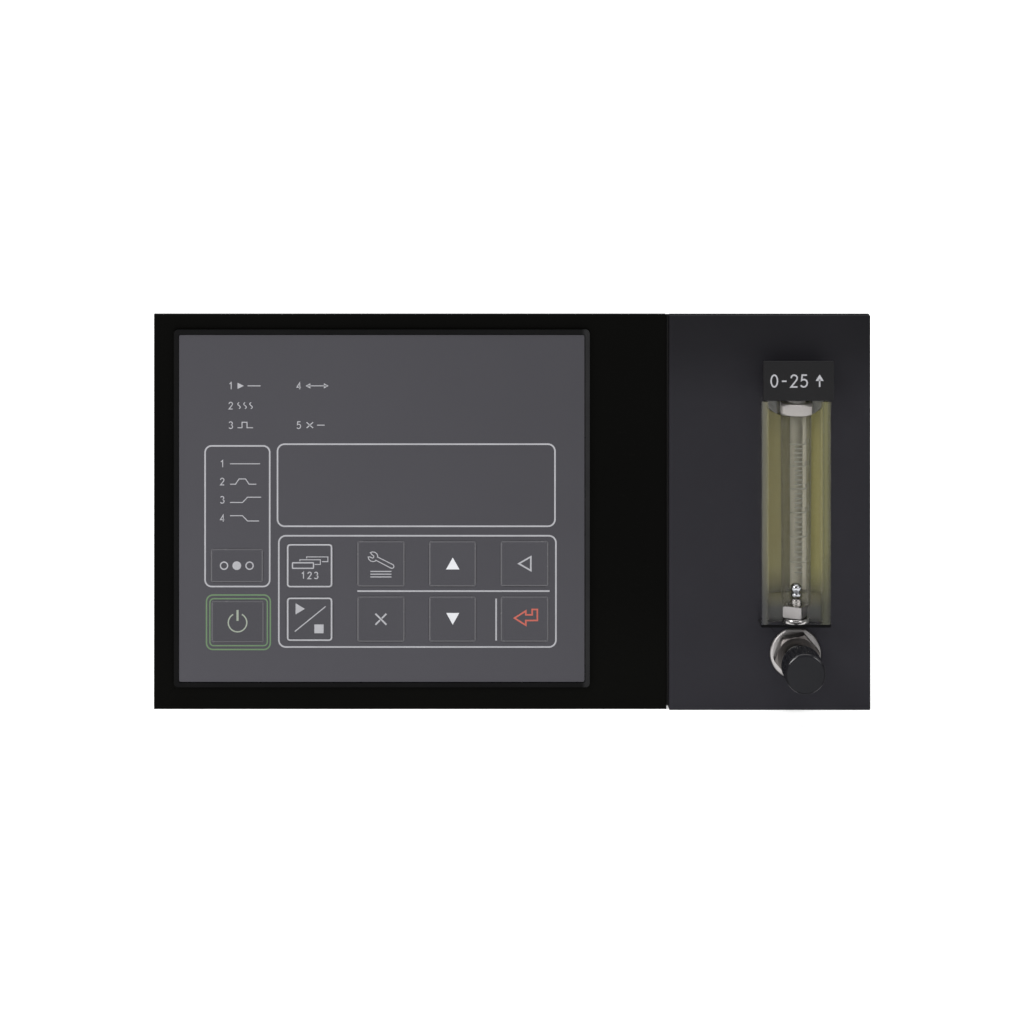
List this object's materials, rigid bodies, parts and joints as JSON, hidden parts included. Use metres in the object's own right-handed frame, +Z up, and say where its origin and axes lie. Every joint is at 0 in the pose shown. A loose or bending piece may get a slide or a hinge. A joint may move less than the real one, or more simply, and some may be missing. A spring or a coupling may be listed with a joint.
{
  "type": "inert gas oven control panel",
  "caption": "Control panel module of a laboratory inert gas oven: black fascia with a grey membrane-key controller, a gas flowmeter with a clear cover and its needle valve knob.",
  "frame": {"origin": "bottom centre of the whole module: middle of the fascia across, half way between the knob's face and the hose barbs' ends in depth, and the plane the module stands on", "axes": "+X to the right as the user faces it, +Y to the back, +Z up; the fascia faces -Y"},
  "size_m": [0.2864, 0.16, 0.1578],
  "materials": {
    "black_plastic": "satin",
    "black_plate": "smooth black sheet",
    "grey_paint": "fine matte paint on folded steel",
    "film_grey": "printed polyester film",
    "key_grey": "embossed polyester film over a moulded key",
    "zinc_steel": "zinc plated",
    "frame_black": "matte black paint",
    "abs_dark": "moulded",
    "board_green": "solder mask on glass epoxy",
    "display_dark": "smoked face",
    "light_guide": "clear acrylic",
    "chrome": "polished",
    "nickel": "nickel plated",
    "block_metal": "dark anodised",
    "glass": "clear borosilicate",
    "clear_plastic": "clear acrylic, slightly yellow",
    "olive_backing": "pale olive",
    "float_steel": "polished",
    "label_black": "satin black",
    "seal_rubber": "matte",
    "hose_blue": "polyurethane",
    "wire_sleeve": "braided sleeve",
    "ribbon_grey": "ribbed",
    "relay_blue": "moulded",
    "core_steel": "lacquered laminations",
    "screw_steel": "bright zinc"
  },
  "bodies": {
    "panel": {"bezel_plate": "black_plate", "gas_panel": "grey_paint", "mounting_frame": "frame_black", "chassis_tray": "zinc_steel", "chassis_cover": "zinc_steel", "frame_screw_1": "screw_steel", "frame_screw_2": "screw_steel", "frame_screw_3": "screw_steel", "frame_screw_4": "screw_steel", "cover_screw_1": "screw_steel", "cover_screw_2": "screw_steel", "cover_screw_3": "screw_steel", "cover_screw_4": "screw_steel", "rear_socket": "abs_dark", "controller_bezel": "black_plastic", "keypad_film": "film_grey", "key_carrier": "abs_dark", "switch_board": "board_green", "display_module": "display_dark", "indicator_light_guide": "light_guide", "controller_case": "abs_dark", "main_board": "board_green", "power_transformer": "core_steel", "output_relay": "relay_blue", "ribbon_cable": "ribbon_grey", "panel_clamp_left": "zinc_steel", "panel_clamp_right": "zinc_steel", "wiring_harness": "wire_sleeve", "meter_bracket": "zinc_steel", "meter_backing": "olive_backing", "meter_upper_block": "block_metal", "needle_valve_body": "block_metal", "taper_tube": "glass", "upper_gland_nut": "nickel", "lower_gland_nut": "nickel", "upper_seal": "seal_rubber", "float_stop": "nickel", "meter_cover": "clear_plastic", "cover_foot_seal": "seal_rubber", "meter_label_plate": "label_black", "valve_trim_ring": "chrome", "valve_gland_nut": "chrome", "gas_inlet_port": "nickel", "gas_outlet_port": "nickel", "gas_inlet_hose": "hose_blue", "gas_outlet_hose": "hose_blue"},
    "key_mode_body": {"key_mode": "key_grey"},
    "key_power_body": {"key_power": "key_grey"},
    "key_display_body": {"key_display": "key_grey"},
    "key_run_body": {"key_run": "key_grey"},
    "key_menu_body": {"key_menu": "key_grey"},
    "key_escape_body": {"key_escape": "key_grey"},
    "key_up_body": {"key_up": "key_grey"},
    "key_down_body": {"key_down": "key_grey"},
    "key_left_body": {"key_left": "key_grey"},
    "key_enter_body": {"key_enter": "key_grey"},
    "float_body": {"float": "float_steel"},
    "stem_body": {"valve_stem": "nickel"},
    "knob_body": {"valve_knob": "black_plastic", "knob_set_screw": "screw_steel"}
  },
  "joints": [
    {"name": "key_mode_press", "type": "slide", "parent": "panel", "child": "key_mode_body", "axis": [0, 1, 0], "range_m": [0, 0.0006], "stiffness_N_per_m": 900},
    {"name": "key_power_press", "type": "slide", "parent": "panel", "child": "key_power_body", "axis": [0, 1, 0], "range_m": [0, 0.0006], "stiffness_N_per_m": 900},
    {"name": "key_display_press", "type": "slide", "parent": "panel", "child": "key_display_body", "axis": [0, 1, 0], "range_m": [0, 0.0006], "stiffness_N_per_m": 900},
    {"name": "key_run_press", "type": "slide", "parent": "panel", "child": "key_run_body", "axis": [0, 1, 0], "range_m": [0, 0.0006], "stiffness_N_per_m": 900},
    {"name": "key_menu_press", "type": "slide", "parent": "panel", "child": "key_menu_body", "axis": [0, 1, 0], "range_m": [0, 0.0006], "stiffness_N_per_m": 900},
    {"name": "key_escape_press", "type": "slide", "parent": "panel", "child": "key_escape_body", "axis": [0, 1, 0], "range_m": [0, 0.0006], "stiffness_N_per_m": 900},
    {"name": "key_up_press", "type": "slide", "parent": "panel", "child": "key_up_body", "axis": [0, 1, 0], "range_m": [0, 0.0006], "stiffness_N_per_m": 900},
    {"name": "key_down_press", "type": "slide", "parent": "panel", "child": "key_down_body", "axis": [0, 1, 0], "range_m": [0, 0.0006], "stiffness_N_per_m": 900},
    {"name": "key_left_press", "type": "slide", "parent": "panel", "child": "key_left_body", "axis": [0, 1, 0], "range_m": [0, 0.0006], "stiffness_N_per_m": 900},
    {"name": "key_enter_press", "type": "slide", "parent": "panel", "child": "key_enter_body", "axis": [0, 1, 0], "range_m": [0, 0.0006], "stiffness_N_per_m": 900},
    {"name": "float_rise", "type": "slide", "parent": "panel", "child": "float_body", "axis": [0, 0, 1], "range_m": [0, 0.062]},
    {"name": "stem_lift", "type": "slide", "parent": "panel", "child": "stem_body", "axis": [0, -1, 0], "range_m": [0, 0.0021]},
    {"name": "knob_turn", "type": "hinge", "parent": "stem_body", "child": "knob_body", "pos_m": [0.1131, -0.07, 0.023], "axis": [0, -1, 0], "range_deg": [0, 1080]}
  ],
  "couplings": [
    {"joint": "knob_turn", "follows": "stem_lift", "rad_per_m": 8976}
  ]
}
